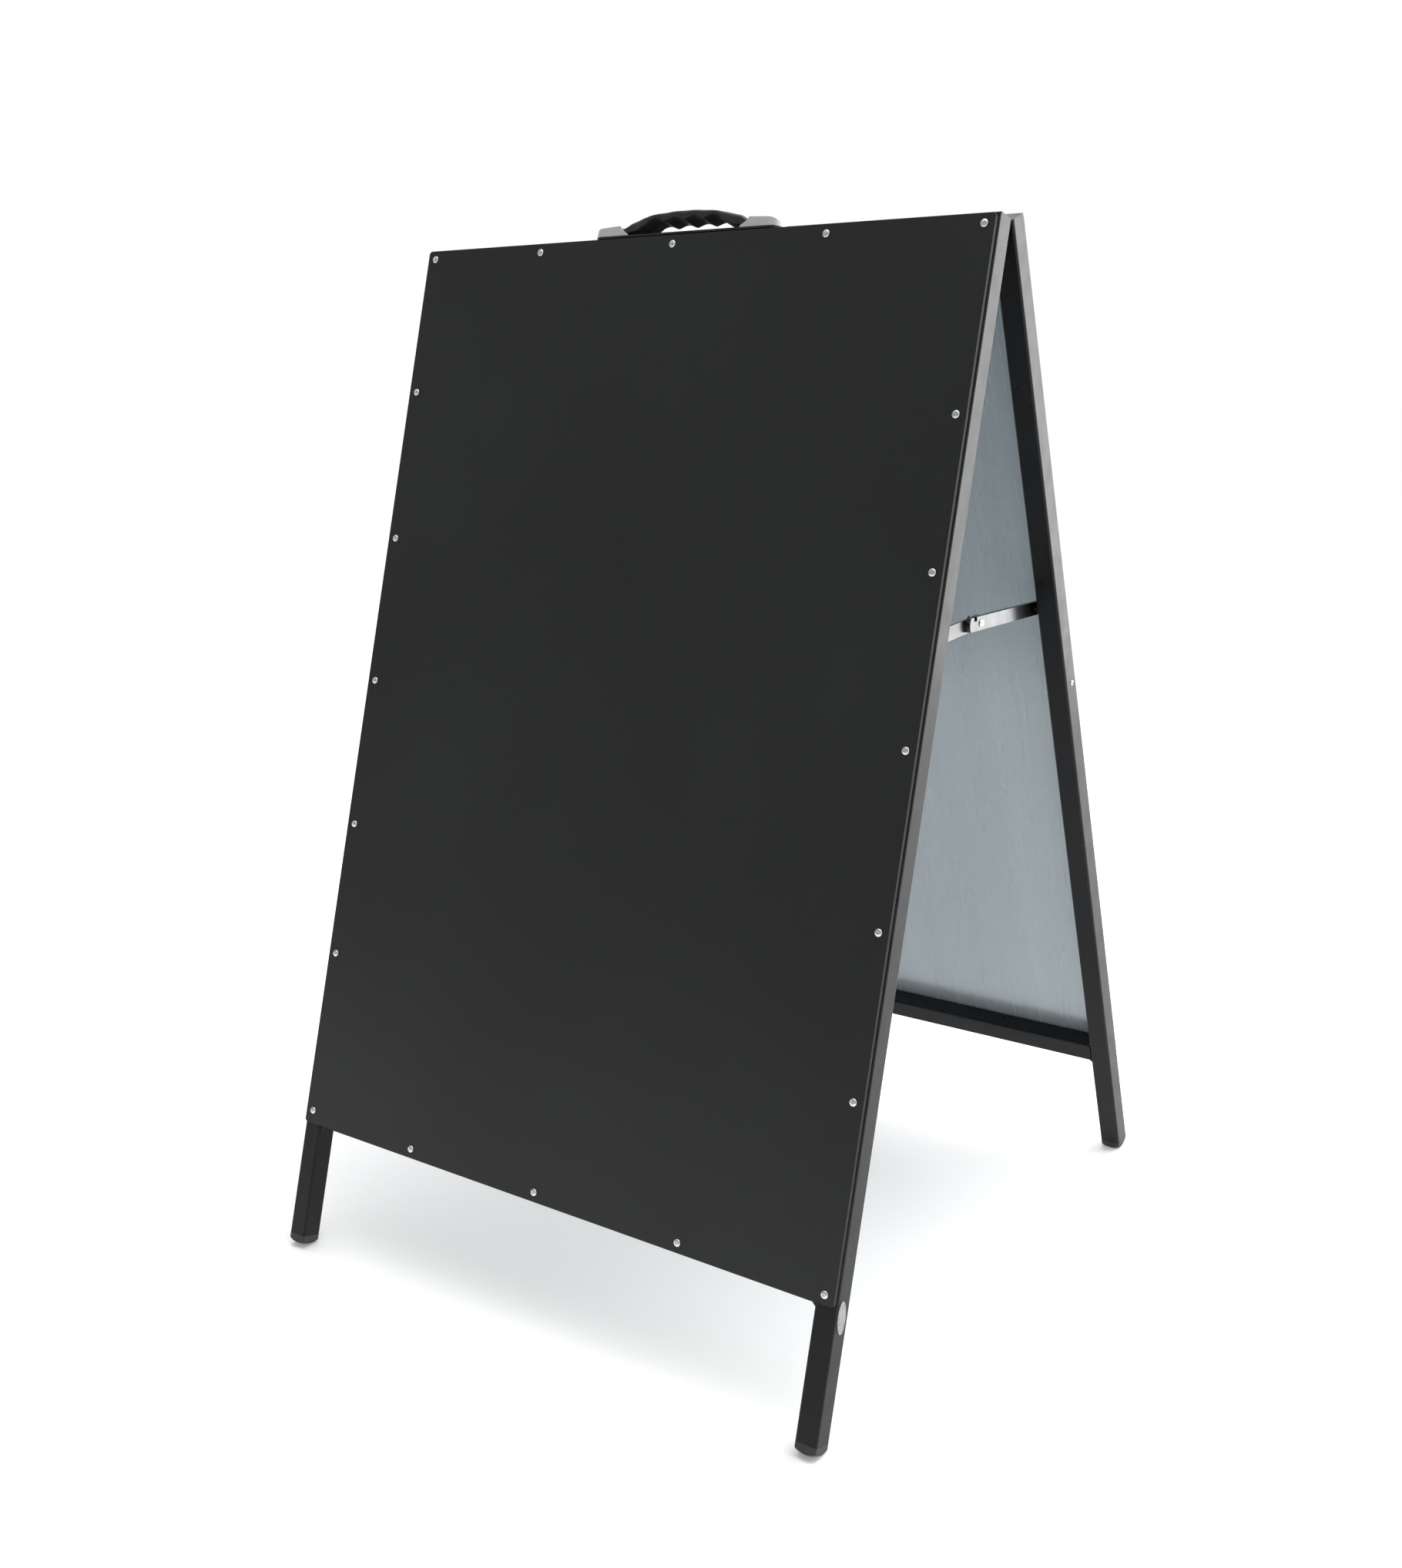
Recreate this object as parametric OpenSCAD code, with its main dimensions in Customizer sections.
// Folding A-frame sandwich board: two framed panels hinged at the top, held
// open by a pair of knee stays, with a spring-strap carrying handle on top.
// X runs across the board, the front leaf leans towards -Y, and Z is up.

/* [Frame] */
// Width across the outer faces of the two uprights
frame_w = 600; // [450:10:800]
// Height from the top edge to the underside of the bottom rail
frame_h = 850; // [650:10:1100]
// Length of upright that stands below the bottom rail
leg_drop = 108; // [60:1:200]
// Lean of each open leaf from the vertical, in degrees
lean = 17.6; // [14:0.2:20]
// Side of the square steel tube
tube = 20; // [18:1:25]
// Wall thickness of the tube
tube_wall = 1.5; // [1:0.1:2]
// Outer corner radius of the tube
tube_r = 2; // [1:0.25:3]
// Gap between the two leaves when they are folded flat
leaf_gap = 8.6; // [8.6:0.2:12]
// Leg length of the fillet welds
weld = 4; // [2:0.5:6]

/* [Panel] */
// Thickness of the composite panel
panel_t = 3; // [2:0.5:5]
// Thickness of each metal skin of the panel
skin_t = 0.3; // [0.2:0.1:0.5]
// Distance of the panel's edge inside the frame's outer edge
panel_inset = 2; // [1:0.5:5]
// Corner radius of the panel
panel_r = 3; // [1:0.5:8]

/* [Panel rivets] */
// Radius of a rivet's domed head
rivet_head_r = 3.25; // [2.5:0.25:4]
// Height of a rivet's domed head
rivet_head_h = 1.3; // [0.8:0.1:2]
// Radius of a rivet's body
rivet_r = 1.6; // [1.2:0.2:2.4]
// Radial clearance of a rivet in its hole
rivet_fit = 0.05; // [0.01:0.01:0.1]
// Distance of the side rivets from the frame's outer edge
rivet_edge = 11; // [9:0.5:13]
// Places of the left-hand rivets down the frame, from the top rail (0) to the bottom rail (1)
rivets_left = [0, 0.154, 0.324, 0.49, 0.658, 0.81, 0.995];
// Places of the right-hand rivets down the frame, from the top rail (0) to the bottom rail (1)
rivets_right = [0, 0.177, 0.324, 0.49, 0.66, 0.819, 1];
// Places of the rivets across each rail, from the left side (0) to the right side (1)
rivets_across = [0.229, 0.488, 0.756];

/* [Feet] */
// Length of the foot that shows below the tube
foot_h = 10; // [6:1:16]
// Radius of the foot's domed underside
foot_dome_r = 20; // [16:1:30]
// Depth of the level sole cut into the dome
sole_cut = 0.4; // [0.2:0.1:0.8]
// Length of the plug inside the tube
plug_h = 22; // [12:1:40]
// Clearance of the plug in the tube, each side
plug_fit = 0.2; // [0.1:0.05:0.4]

/* [Hinges] */
// Distance of each hinge's middle from the board's middle
hinge_x = 200; // [120:5:200]
// Length of a hinge along its pin
hinge_len = 51; // [36:3:75]
// Outer radius of a hinge knuckle
knuckle_r = 4; // [3.5:0.1:4]
// Radius of a hinge pin
pin_r = 2; // [1.5:0.1:2.2]
// Radius of a hinge pin's head
pin_head_r = 2.8; // [2.5:0.1:3.5]
// Height of a hinge pin's head
pin_head_h = 1.2; // [0.8:0.1:2]
// Radial running clearance of a hinge pin
pin_fit = 0.05; // [0.02:0.01:0.1]
// Thickness of a hinge plate
plate_t = 1.5; // [1:0.1:2]
// End gap between neighbouring knuckles
knuckle_gap = 0.4; // [0.2:0.1:1]

/* [Stays] */
// Distance of the stay pivots below the frame's top edge
stay_drop = 339; // [280:1:420]
// Height of the locked knee above the line between the two pivots
knee_rise = 4.2; // [2:0.2:6]
// Width of a stay arm
arm_w = 12; // [10:0.5:16]
// Thickness of the front arm, a flat bar
arm_t = 2; // [1.5:0.1:2.5]
// Depth of the rear arm, a shallow channel
channel_d = 4.3; // [4:0.1:5]
// Sheet thickness of the rear arm
channel_t = 1.2; // [0.8:0.1:1.2]
// Radius of the bow at the rear arm's free end
channel_bow_r = 10; // [8:0.5:16]
// Length of the rear arm beyond the knee
rear_tail = 20; // [16:1:30]
// Length of the front arm beyond the knee
front_tail = 9; // [7:0.5:12]
// Radius of the pivot and knee rivets
stay_pin_r = 2.5; // [2:0.1:3]
// Radial running clearance of the arms on their rivets
stay_fit = 0.06; // [0.02:0.01:0.1]
// Head radius of the pivot and knee rivets
stay_head_r = 3.6; // [3.2:0.1:4.2]
// Head height of the pivot and knee rivets
stay_head_h = 1.5; // [1:0.1:1.6]
// Thickness of the washer between an upright and the rear arm
spacer_t = 2.2; // [2.2:0.1:4]
// Side gap between pieces that turn on one another
side_play = 0.2; // [0.1:0.05:0.4]
// Distance of the stop notch from the knee
notch_u = 10; // [8:0.5:12]
// Width of the stop notch
notch_w = 5; // [4:0.5:6]
// Depth of the stop notch
notch_d = 3.5; // [2:0.5:4]
// Height of the stop tab above the front arm
tab_h = 1.6; // [1:0.2:2.4]

/* [Handle] */
// Overall length of the handle
handle_len = 198; // [180:1:230]
// Place of the handle's middle, across the board
handle_x = -1; // [-20:1:20]
// Depth of the handle's base strip and end caps, front to back
handle_d = 20; // [16:0.5:22]
// Thickness of the base strip
base_t = 1.8; // [1:0.1:3]
// Height of an end cap above the rail, at its inner end
cap_h = 11; // [10.6:0.1:14]
// Fall of an end cap's top towards its rounded outer end
cap_fall = 1.2; // [0:0.1:1.6]
// Length of an end cap's top and rounded end
cap_len = 30; // [26:1:36]
// Length that an end cap's lower lip reaches further in than its top
lip_len = 9; // [4:1:12]
// Height of an end cap's lower lip
lip_h = 4.5; // [3:0.5:6]
// Wall thickness of an end cap
cap_wall = 1.2; // [0.8:0.1:1.3]
// Height of the grip's top above the rail
grip_h = 20.4; // [18:0.2:26]
// Radius of the grip's arched top
grip_arch_r = 252; // [200:2:400]
// Half length of the grip's stiff middle
grip_half = 45; // [42:1:48]
// Depth of the grip, front to back
grip_d = 24; // [18:0.5:26]
// Height of the grip's underside above the rail, between the finger grooves
grip_under = 11.2; // [9.6:0.1:12]
// Half length of the grip's level underside, before it slopes down to the caps
level_half = 36.5; // [30:0.5:40]
// Slope of the underside beyond its level part
under_slope = 0.55; // [0.3:0.05:0.7]
// Depth of the finger grooves
groove_d = 2.9; // [1:0.1:3.5]
// Pitch of the finger grooves
groove_pitch = 20.3; // [16:0.1:24]
// Distance that the groove pattern sits to the right of the grip's middle
groove_shift = 11; // [-12:1:12]
// Thickness of the spring strip inside the grip
strip_t = 1; // [0.6:0.1:1.5]
// Distance of the handle screws from the ends of the handle
screw_in = 13; // [12:0.5:16]
// Thread radius of the handle screws
screw_r = 2.5; // [2:0.1:3]
// Length of the handle screws below the base strip
screw_len = 8; // [5:0.5:12]

/* [Trim] */
// Length of the maker's plate
badge_len = 27; // [16:1:40]
// Width of the maker's plate
badge_w = 12; // [8:1:14]
// Thickness of the maker's plate
badge_t = 0.8; // [0.5:0.1:1.5]
// Height of the maker's plate above the end of the leg
badge_rise = 101; // [20:1:300]
// Width of the raised rim of the maker's plate
badge_rim = 1; // [0.5:0.1:2]
// Turn of the maker's plate, in degrees
badge_turn = 8; // [-20:1:20]
// Distance of the maker's plate and the side rivet in front of the tube's middle
trim_off = 1.5; // [-4:0.5:4]
// Distance of the small side rivet below the frame's top edge
side_rivet_drop = 413; // [360:1:600]
// Head radius of the small side rivet
side_rivet_r = 2.2; // [2:0.1:3]
// Head height of the small side rivet
side_rivet_h = 0.9; // [0.6:0.1:1.2]

/* [Hidden] */
$fn = 32;
CORNER_STEPS = 6;
ARC_STEPS = 12;
CUT = 1;

half_w = frame_w / 2;
leg_len = frame_h + leg_drop;
// Leaf coordinates: the hinge pin is at y 0, z 0, and the leaf hangs straight down.
top_z = tube / 2;
mid_y = -leaf_gap / 2 - tube / 2;
out_y = -leaf_gap / 2 - tube;
upright_x = half_w - tube / 2;
inner_x = half_w - tube;
leg_end_z = top_z - leg_len;
dome_z = leg_end_z - foot_h + foot_dome_r;
// Height of the hinge pin, from where the feet's soles meet the ground
pin_z = foot_dome_r - sole_cut + mid_y * sin(lean) - dome_z * cos(lean);

bore = tube - 2 * tube_wall;
rivet_grip = panel_t + tube_wall;
rivet_tail_r = 1.5 * rivet_r;
rivet_tail_h = 2.6;

// Stay geometry: pivots on the uprights, the knee midway between them
pivot_z = top_z - stay_drop;
pivot_y0 = mid_y * cos(lean) + pivot_z * sin(lean);
pivot_z0 = pin_z - mid_y * sin(lean) + pivot_z * cos(lean);
arm_len = norm([pivot_y0, knee_rise]);
arm_tilt = atan2(knee_rise, -pivot_y0);
rear_arm_x = inner_x - spacer_t - side_play;
front_arm_x = rear_arm_x - channel_d - 1.5 * side_play;
knee_split_x = rear_arm_x - channel_d - 0.75 * side_play;

half_handle = handle_len / 2;
screw_x = half_handle - screw_in;
cap_top_x = half_handle - cap_len;
lip_x = cap_top_x - lip_len;
neck_under = 4.1;
neck_end_x = screw_x - 6;
neck_tip_h = 7.6;
neck_mouth_h = cap_h - cap_wall - 0.4;
neck_side_gap = 0.5;
cap_nose = 1.6;
neck_d = handle_d - 2 * (cap_wall + neck_side_gap);
neck_side_x = lip_x - 3;
strip_mid_h = grip_h - 2.8;
strip_bend_x = 30;
strip_bend_h = grip_h - 4;
strip_neck_h = grip_h - 6.9;
strip_end_h = 6.4;
strip_gap = 0.3;
strip_slot = 2;
strip_d = handle_d - 6;
strip_end_x = half_handle - 5;
shoulder_h = strip_end_h + strip_gap;
screw_shoulder_r = screw_r + 0.5;
screw_head_r = screw_r + 2;
screw_head_h = cap_h - cap_fall - cap_wall - shoulder_h - 2 * strip_gap;

function arc(cx, cy, r, a0, a1, n) =
    [for (k = [0:n]) let (a = a0 + (a1 - a0) * k / n) [cx + r * cos(a), cy + r * sin(a)]];
function rounded(w, d, r, n = CORNER_STEPS) = concat(
    arc(w / 2 - r, d / 2 - r, r, 0, 90, n),
    arc(r - w / 2, d / 2 - r, r, 90, 180, n),
    arc(r - w / 2, r - d / 2, r, 180, 270, n),
    arc(w / 2 - r, r - d / 2, r, 270, 360, n));
function slot(u0, u1, r, n = ARC_STEPS) =
    concat(arc(u1, 0, r, -90, 90, n), arc(u0, 0, r, 90, 270, n));
function ellipse(a, b) = [for (k = [0:$fn - 1]) [a * cos(k * 360 / $fn), b * sin(k * 360 / $fn)]];
function arch(x) = grip_h - x * x / (2 * grip_arch_r);
function row_z(share) = top_z - tube / 2 - share * (frame_h - tube);
function stop_x(share) = (share - 0.5) * 2 * (half_w - rivet_edge);

// ---- placing ----
module front_leaf() translate([0, 0, pin_z]) rotate([-lean, 0, 0]) children();
module rear_leaf() mirror([0, 1, 0]) front_leaf() children();
module leftwards() mirror([1, 0, 0]) children();
module each_side() {
    children();
    leftwards() children();
}
// An outline in x and z, extruded in y and centred on the frame's mid-plane
module across_y(points, depth) {
    translate([0, mid_y + depth / 2, 0]) rotate([90, 0, 0]) linear_extrude(depth) polygon(points);
}

// ---- frame ----
module tube_section() {
    difference() {
        polygon(rounded(tube, tube, tube_r));
        polygon(rounded(bore, bore, max(tube_r - tube_wall, 0.3)));
    }
}
module side_rivet_places(side, shares) {
    for (share = shares)
        translate([side * (half_w - rivet_edge), out_y - panel_t, row_z(share)])
            rotate([-90, 0, 0]) children();
}
module rail_rivet_places(row) {
    for (share = rivets_across)
        translate([stop_x(share), out_y - panel_t, row_z(row)]) rotate([-90, 0, 0]) children();
}
module rivet_hole() translate([0, 0, -CUT]) cylinder(r = rivet_r + rivet_fit, h = rivet_grip + 2 * CUT);

// The wedge above the mitre at the right-hand top corner
module mitre_cut(over) {
    corner = [half_w + CUT, top_z + CUT];
    heel = [inner_x - CUT, top_z - tube - CUT];
    across_y([corner, heel, over ? [heel[0], corner[1]] : [corner[0], heel[1]]], tube + 2 * CUT);
}
// A right-hand upright; the left-hand one is its mirror image
module upright(shares) {
    color("#26272a") difference() {
        translate([upright_x, mid_y, leg_end_z]) linear_extrude(leg_len) tube_section();
        mitre_cut(true);
        side_rivet_places(1, shares) rivet_hole();
        translate([inner_x - CUT, mid_y, pivot_z]) rotate([0, 90, 0])
            cylinder(r = stay_pin_r + stay_fit, h = tube_wall + 2 * CUT);
        children();
    }
}
module top_rail() {
    color("#26272a") difference() {
        translate([-half_w, mid_y, top_z - tube / 2]) rotate([90, 0, 90])
            linear_extrude(frame_w) tube_section();
        mitre_cut(false);
        leftwards() mitre_cut(false);
        rail_rivet_places(0) rivet_hole();
        for (side = [-1, 1]) side_rivet_places(side, [0]) rivet_hole();
        hinge_screw_places() cylinder(r = screw_hole_r, h = hinge_screw_len + CUT);
        children();
    }
}
module bottom_rail() {
    color("#26272a") difference() {
        translate([-inner_x, mid_y, row_z(1)]) rotate([90, 0, 90])
            linear_extrude(2 * inner_x) tube_section();
        rail_rivet_places(1) rivet_hole();
    }
}
// A fillet in the corner at the right-hand upright's inner face, running up or down from z
module fillet(z, up) {
    across_y([[inner_x, z], [inner_x - weld, z], [inner_x, z + up * weld]], bore);
}
module welds() {
    color("#1f2022") each_side() {
        fillet(row_z(1) - tube / 2, -1);
        fillet(row_z(1) + tube / 2, 1);
        fillet(top_z - tube, -1);
    }
}

// ---- panel ----
// One layer of the panel, from depth y0 below its outer face
module panel_layer(y0, thickness) {
    height = frame_h - 2 * panel_inset;
    difference() {
        translate([0, out_y - panel_t + y0 + thickness, top_z - frame_h / 2]) rotate([90, 0, 0])
            linear_extrude(thickness) polygon(rounded(frame_w - 2 * panel_inset, height, panel_r));
        side_rivet_places(1, rivets_right) rivet_hole();
        side_rivet_places(-1, rivets_left) rivet_hole();
        rail_rivet_places(0) rivet_hole();
        rail_rivet_places(1) rivet_hole();
    }
}
module face_skin() color("#2b2d2d") panel_layer(0, skin_t);
module panel_core() color("#3c3c3c") panel_layer(skin_t, panel_t - 2 * skin_t);
module back_skin() color("#a9b4b8") panel_layer(panel_t - skin_t, skin_t);

// A blind rivet whose head seats at z 0, with its set tail behind what it grips
module blind_rivet(head_r, head_h, grip) {
    dimple_r = 0.35 * head_r;
    dome = [for (k = [0:5]) let (r = dimple_r + (head_r - dimple_r) * k / 5)
        [r, -head_h * sqrt(1 - pow(r / head_r, 2))]];
    rotate_extrude() polygon(concat(
        [[0, grip + rivet_tail_h], [0, -0.4 * head_h], [dimple_r, -0.4 * head_h]], dome,
        [[rivet_r, 0], [rivet_r, grip], [rivet_tail_r, grip], [rivet_tail_r, grip + rivet_tail_h]]));
}
module panel_rivet() blind_rivet(rivet_head_r, rivet_head_h, rivet_grip);
module panel_rivets() {
    color("#c9cbcd") {
        side_rivet_places(1, rivets_right) panel_rivet();
        side_rivet_places(-1, rivets_left) panel_rivet();
        rail_rivet_places(0) panel_rivet();
        rail_rivet_places(1) panel_rivet();
    }
}

// ---- feet ----
module foot_body() {
    plug = bore - 2 * plug_fit;
    translate([upright_x, mid_y, 0]) {
        intersection() {
            translate([0, 0, leg_end_z - foot_h]) linear_extrude(foot_h)
                polygon(rounded(tube, tube, tube_r));
            translate([0, 0, dome_z]) sphere(r = foot_dome_r);
        }
        translate([0, 0, leg_end_z - 0.5]) linear_extrude(plug_h + 0.5)
            polygon(rounded(plug, plug, 0.5));
    }
}
// The sole is cut level with the ground, so this works in the board's own frame
module foot() {
    color("#3a3b3d") difference() {
        front_leaf() foot_body();
        translate([0, -frame_h, -foot_dome_r]) cube([frame_w, frame_h, foot_dome_r]);
    }
}

// ---- hinges ----
segment = hinge_len / 3;
function segment_x(k) = (k - 1) * segment - (segment - knuckle_gap) / 2;
plate_top = -knuckle_r - 0.6;
plate_low = 0.5 - tube / 2;
hinge_screw_x = hinge_len / 2 - 9;
hinge_screw_r = 1.5;
screw_hole_r = hinge_screw_r + rivet_fit;
hinge_screw_z = -bore / 2 + hinge_screw_r + 0.1;
hinge_screw_len = plate_t + tube_wall + 2;

module hinge_plate(own) {
    color("#3b3d40") difference() {
        union() {
            translate([-hinge_len / 2, -leaf_gap / 2, plate_low])
                cube([hinge_len, plate_t, plate_top - plate_low]);
            for (k = own) translate([segment_x(k), 0, 0]) {
                translate([0, -leaf_gap / 2, plate_low])
                    cube([segment - knuckle_gap, plate_t, -plate_low]);
                rotate([0, 90, 0]) cylinder(r = knuckle_r, h = segment - knuckle_gap);
            }
        }
        translate([-hinge_len, 0, 0]) rotate([0, 90, 0]) cylinder(r = pin_r + pin_fit, h = 2 * hinge_len);
        for (side = [-1, 1]) translate([side * hinge_screw_x, 0, hinge_screw_z])
            rotate([90, 0, 0]) cylinder(r = screw_hole_r, h = tube / 2);
    }
}
module hinge_pin() {
    color("#b9bbbd") translate([-hinge_len / 2 - pin_head_h, 0, pin_z]) rotate([0, 90, 0]) {
        cylinder(r = pin_head_r, h = pin_head_h);
        cylinder(r = pin_r, h = hinge_len + 2 * pin_head_h);
        translate([0, 0, hinge_len + pin_head_h]) cylinder(r = pin_head_r, h = pin_head_h);
    }
}
module hinge_screw_places() {
    for (x = [-hinge_x, hinge_x], side = [-1, 1])
        translate([x + side * hinge_screw_x, -leaf_gap / 2 + plate_t, hinge_screw_z])
            rotate([90, 0, 0]) children();
}
// Slotted pan-head screws, tapped into the wall of the top rail
module hinge_screws() {
    head_r = 1.45 * hinge_screw_r;
    head_h = 0.9;
    color("#b9bbbd") hinge_screw_places() difference() {
        union() {
            translate([0, 0, -head_h]) cylinder(r1 = head_r - 0.4, r2 = head_r, h = head_h);
            cylinder(r = hinge_screw_r, h = hinge_screw_len);
        }
        translate([-head_r, -0.3, -head_h - CUT]) cube([2 * head_r, 0.6, head_h / 2 + CUT]);
    }
}

// ---- stays ----
// Places a stay arm of the front leaf, drawn along x from its pivot with its top along y
module on_arm(x) translate([x, pivot_y0, pivot_z0]) rotate([arm_tilt, 0, 0]) rotate([90, 0, 90]) children();
module arm_bores() {
    for (u = [0, arm_len]) translate([u, 0, -CUT])
        cylinder(r = stay_pin_r + stay_fit, h = channel_d + 2 * CUT);
}
// A flat bar with a stop tab that stands up in the rear arm's notch
module front_arm() {
    tab_w = 0.6 * notch_w;
    color("#c3c6c8") on_arm(front_arm_x - arm_t) difference() {
        union() {
            linear_extrude(arm_t) polygon(slot(0, arm_len + front_tail - arm_w / 2, arm_w / 2));
            translate([arm_len - notch_u - tab_w / 2, 0, 0]) cube([tab_w, arm_w / 2 + tab_h, arm_t]);
        }
        arm_bores();
    }
}
// Outline of the channel: round at its pivot and bowed at its free end, drawn in by wall
function channel_outline(wall) = let (half = arm_w / 2 - wall, bow_r = channel_bow_r - wall,
    bow = asin(half / bow_r)) concat(
    arc(arm_len + rear_tail - channel_bow_r, 0, bow_r, -bow, bow, ARC_STEPS),
    arc(0, 0, half, 90, 270, ARC_STEPS));
module rear_arm() {
    color("#c3c6c8") mirror([0, 1, 0]) on_arm(rear_arm_x - channel_d) difference() {
        linear_extrude(channel_d) polygon(channel_outline(0));
        translate([0, 0, -channel_t]) linear_extrude(channel_d) polygon(channel_outline(channel_t));
        arm_bores();
        translate([arm_len + notch_u - notch_w / 2, arm_w / 2 - notch_d, -CUT])
            cube([notch_w, arm_w, channel_d + 2 * CUT]);
    }
}
// A round rivet head that narrows to its top, seated at z 0 and standing down to -h
module stay_head() translate([0, 0, -stay_head_h])
    cylinder(r1 = 0.7 * stay_head_r, r2 = stay_head_r, h = stay_head_h);
module knee_inner_rivet() {
    color("#aeb1b3") on_arm(front_arm_x - arm_t) translate([arm_len, 0, 0]) {
        stay_head();
        cylinder(r = stay_pin_r, h = knee_split_x - front_arm_x + arm_t - side_play / 4);
    }
}
// Its shoulder fills the depth of the channel, behind the web
module knee_outer_rivet() {
    len = rear_arm_x - knee_split_x - side_play / 4;
    color("#aeb1b3") on_arm(rear_arm_x) translate([arm_len, 0, 0]) mirror([0, 0, 1]) {
        stay_head();
        cylinder(r = stay_pin_r, h = len);
        translate([0, 0, channel_t]) cylinder(r = stay_head_r, h = len - channel_t);
    }
}
// A pivot rivet in the right-hand upright, for an arm whose inner face is at x
module pivot_rivet(x) {
    translate([x - side_play, mid_y, pivot_z]) rotate([0, 90, 0]) {
        grip = inner_x + tube_wall - x + side_play;
        stay_head();
        cylinder(r = stay_pin_r, h = grip);
        translate([0, 0, grip]) cylinder(r = stay_head_r, h = 2 * stay_pin_r / 3);
    }
}
module stay_rivets(x) color("#aeb1b3") each_side() pivot_rivet(x);
module stay_spacers(x) {
    color("#aeb1b3") each_side() translate([x + side_play, mid_y, pivot_z]) rotate([0, 90, 0])
        difference() {
            cylinder(r = arm_w / 2 - 0.5, h = inner_x - x - side_play);
            translate([0, 0, -CUT]) cylinder(r = stay_pin_r + stay_fit, h = tube);
        }
}

// ---- handle ----
// The handle's own coordinates: x from its middle, z up from the rail's top face
module on_rail() front_leaf() translate([handle_x, 0, top_z]) children();
module screw_hole(r) for (side = [-1, 1])
    translate([side * screw_x, mid_y, -tube / 2]) cylinder(r = r, h = tube);

module base_strip() {
    color("#1c1d1f") on_rail() difference() {
        translate([0, mid_y, 0]) linear_extrude(base_t)
            polygon(rounded(handle_len - 2 * cap_wall, handle_d, handle_d / 2 - 1, ARC_STEPS));
        screw_hole(screw_r + rivet_fit);
    }
}
// Side outline of a cap, drawn in by wall from its outer surface, and open below if wall > 0
function cap_side(wall) = let (
    end = half_handle - wall,
    top = cap_h - wall,
    r = cap_h - cap_fall - base_t - 1 - wall,
    over = wall > 0 ? CUT : 0) concat(
    [[end, base_t - over]],
    [for (k = [0:ARC_STEPS]) let (a = 90 * k / ARC_STEPS)
        [end - cap_nose * r * (1 - cos(a)), top - cap_fall - r * (1 - sin(a))]],
    wall > 0 ? [[cap_top_x, top], [lip_x - CUT, top]]
        : [for (k = [0:ARC_STEPS]) let (a = 90 * k / ARC_STEPS)
            [cap_top_x - lip_len * sin(a), lip_h + (cap_h - lip_h) * (1 - sin(a)) * cos(a / 2)]],
    [[lip_x - over, base_t - over]]);
module cap_block(wall) {
    plan_r = handle_d / 2 - wall;
    intersection() {
        across_y(cap_side(wall), handle_d - 2 * wall);
        translate([0, mid_y, 0]) linear_extrude(2 * cap_h) polygon(concat(
            arc(half_handle - wall - plan_r, 0, plan_r, -90, 90, ARC_STEPS),
            [[0, plan_r], [0, -plan_r]]));
    }
}
module cap() {
    color("#c8cacb") difference() {
        cap_block(0);
        cap_block(cap_wall);
    }
}
module screws() {
    color("#8d8f92") on_rail() for (side = [-1, 1]) translate([side * screw_x, mid_y, 0]) {
        translate([0, 0, -screw_len]) cylinder(r = screw_r, h = screw_len + base_t);
        translate([0, 0, base_t]) cylinder(r = screw_shoulder_r, h = shoulder_h - base_t);
        translate([0, 0, shoulder_h]) cylinder(r = screw_head_r, h = screw_head_h);
    }
}
// Outline of the spring strip: arched through the grip, then down to the caps
function strip_half_edge(h) = [[grip_half, strip_neck_h + h],
    [cap_top_x, strip_end_h + h], [strip_end_x, strip_end_h + h]];
function strip_edge(h) = concat(
    [for (p = reversed(strip_half_edge(h))) [-p[0], p[1]]],
    [[-strip_bend_x, strip_bend_h + h], [0, strip_mid_h + h], [strip_bend_x, strip_bend_h + h]],
    strip_half_edge(h));
function reversed(list) = [for (k = [len(list) - 1:-1:0]) list[k]];
module strip_block() across_y(concat(strip_edge(-strip_t), reversed(strip_edge(0))), strip_d);
module strip() {
    color("#8d8f92") on_rail() difference() {
        strip_block();
        for (side = [-1, 1]) translate([side * screw_x, mid_y, 0]) linear_extrude(cap_h)
            polygon(slot(-strip_slot, strip_slot, screw_shoulder_r + strip_gap));
    }
}
// Underside of the grip: a row of finger grooves, sloping down beyond the level part
function under(x) = grip_under - under_slope * max(0, abs(x) - level_half)
    + groove_d * pow(cos(180 * (x - groove_shift) / groove_pitch), 2);
module grip() {
    step = 2.5;
    color("#151617") on_rail() difference() {
        across_y(concat(
            [for (x = [-grip_half:step:grip_half]) [x, under(x)]],
            [for (x = [grip_half:-2 * step:-grip_half]) [x, arch(x)]]), grip_d);
        strip_block();
    }
}
// Neck on the right-hand side; under_x is where it meets the grip's underside
module neck(under_x) {
    bend_x = lip_x + 2;
    side_edge = [[grip_half, grip_d / 2], [neck_side_x, neck_d / 2], [neck_end_x, neck_d / 2]];
    color("#151617") difference() {
        intersection() {
            across_y([[grip_half, under(under_x)], [lip_x - 2, neck_under], [neck_end_x, neck_under],
                [neck_end_x, neck_tip_h], [cap_top_x, neck_mouth_h],
                [cap_top_x - 2.5, neck_mouth_h], [bend_x, arch(bend_x)],
                [(grip_half + bend_x) / 2, arch((grip_half + bend_x) / 2)],
                [grip_half, arch(grip_half)]], grip_d);
            translate([0, mid_y, 0]) linear_extrude(2 * cap_h)
                polygon(concat([for (p = side_edge) [p[0], -p[1]]], reversed(side_edge)));
        }
        strip_block();
    }
}

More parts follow.
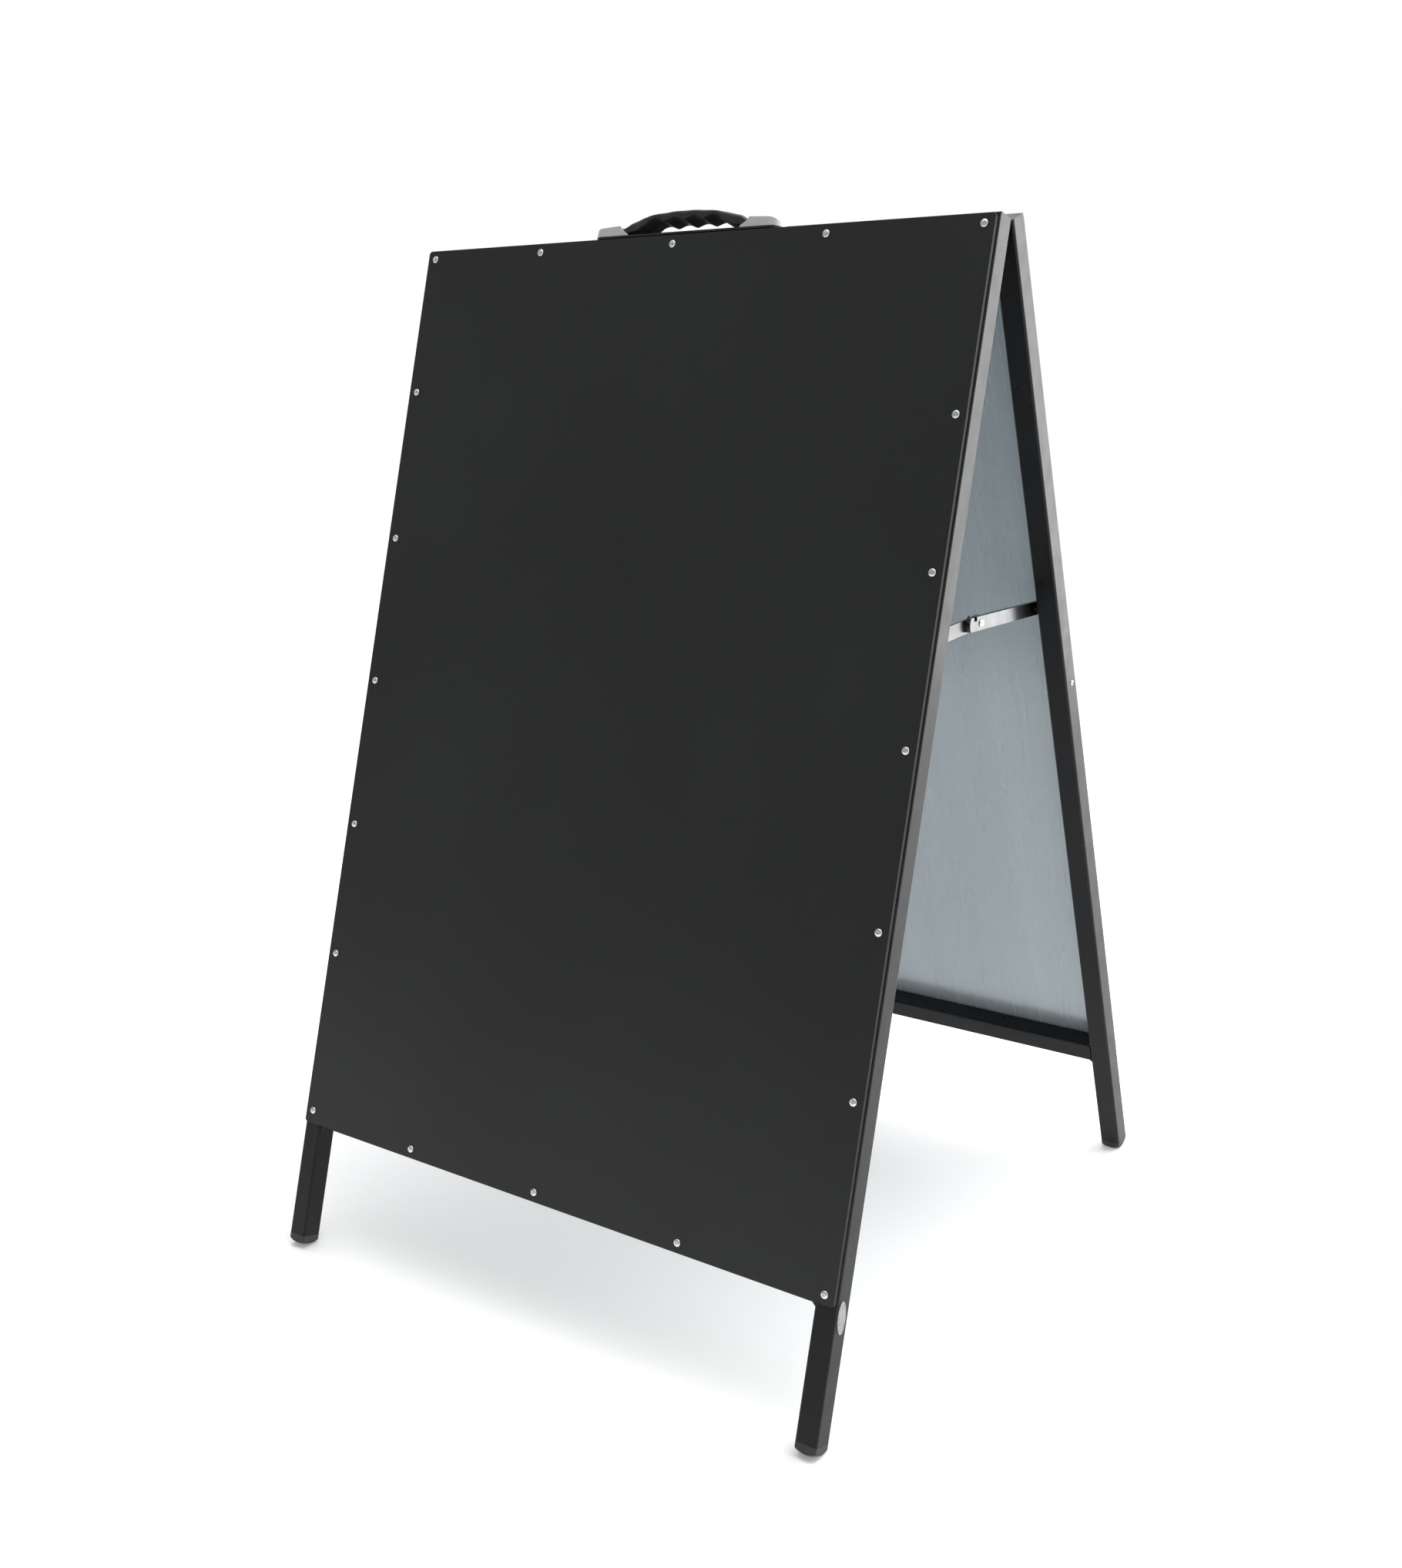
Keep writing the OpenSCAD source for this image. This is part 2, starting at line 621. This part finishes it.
// ---- trim ----
module maker_plate() {
    color("#c4c5c2") front_leaf()
        translate([half_w, mid_y - trim_off, leg_end_z + badge_rise]) rotate([badge_turn, 0, 0])
        rotate([0, 90, 0]) difference() {
            linear_extrude(badge_t) polygon(ellipse(badge_len / 2, badge_w / 2));
            translate([0, 0, badge_t / 2]) linear_extrude(badge_t)
                polygon(ellipse(badge_len / 2 - badge_rim, badge_w / 2 - badge_rim));
        }
}
module side_rivet() {
    color("#c9cbcd") rear_leaf() translate([half_w, mid_y - trim_off, top_z - side_rivet_drop])
        rotate([0, -90, 0]) blind_rivet(side_rivet_r, side_rivet_h, tube_wall);
}
module side_rivet_hole() translate([half_w - 2 * tube_wall, mid_y - trim_off, top_z - side_rivet_drop])
    rotate([0, 90, 0]) cylinder(r = rivet_r + rivet_fit, h = 4 * tube_wall);
module handle_holes() translate([handle_x, 0, top_z]) screw_hole(screw_r + rivet_fit);

front_leaf() leftwards() upright(rivets_left);  // front_left_upright
front_leaf() upright(rivets_right);  // front_right_upright
front_leaf() top_rail() handle_holes();  // front_top_rail
front_leaf() bottom_rail();  // front_bottom_rail
front_leaf() welds();  // front_welds
front_leaf() face_skin();  // front_face_skin
front_leaf() panel_core();  // front_panel_core
front_leaf() back_skin();  // front_back_skin
front_leaf() panel_rivets();  // front_panel_rivets
leftwards() foot();  // front_left_foot
foot();  // front_right_foot
rear_leaf() leftwards() upright(rivets_left);  // rear_left_upright
rear_leaf() upright(rivets_right) side_rivet_hole();  // rear_right_upright
rear_leaf() top_rail();  // rear_top_rail
rear_leaf() bottom_rail();  // rear_bottom_rail
rear_leaf() welds();  // rear_welds
rear_leaf() face_skin();  // rear_face_skin
rear_leaf() panel_core();  // rear_panel_core
rear_leaf() back_skin();  // rear_back_skin
rear_leaf() panel_rivets();  // rear_panel_rivets
mirror([0, 1, 0]) leftwards() foot();  // rear_left_foot
mirror([0, 1, 0]) foot();  // rear_right_foot
front_leaf() translate([-hinge_x, 0, 0]) hinge_plate([0, 2]);  // left_hinge_front_plate
rear_leaf() translate([-hinge_x, 0, 0]) hinge_plate([1]);  // left_hinge_rear_plate
translate([-hinge_x, 0, 0]) hinge_pin();  // left_hinge_pin
front_leaf() translate([hinge_x, 0, 0]) hinge_plate([0, 2]);  // right_hinge_front_plate
rear_leaf() translate([hinge_x, 0, 0]) hinge_plate([1]);  // right_hinge_rear_plate
translate([hinge_x, 0, 0]) hinge_pin();  // right_hinge_pin
front_leaf() hinge_screws();  // front_hinge_screws
rear_leaf() hinge_screws();  // rear_hinge_screws
leftwards() front_arm();  // left_stay_front_arm
leftwards() rear_arm();  // left_stay_rear_arm
leftwards() knee_inner_rivet();  // left_knee_inner_rivet
leftwards() mirror([0, 1, 0]) knee_outer_rivet();  // left_knee_outer_rivet
front_arm();  // right_stay_front_arm
rear_arm();  // right_stay_rear_arm
knee_inner_rivet();  // right_knee_inner_rivet
mirror([0, 1, 0]) knee_outer_rivet();  // right_knee_outer_rivet
front_leaf() stay_rivets(front_arm_x - arm_t);  // front_stay_rivets
rear_leaf() stay_rivets(rear_arm_x - channel_t);  // rear_stay_rivets
front_leaf() stay_spacers(front_arm_x);  // front_stay_spacers
rear_leaf() stay_spacers(rear_arm_x);  // rear_stay_spacers
base_strip();  // handle_base
on_rail() leftwards() cap();  // handle_left_cap
on_rail() cap();  // handle_right_cap
screws();  // handle_screws
grip();
on_rail() leftwards() neck(-grip_half);  // grip_left_neck
on_rail() neck(grip_half);  // grip_right_neck
strip();  // grip_strip
maker_plate();
side_rivet();
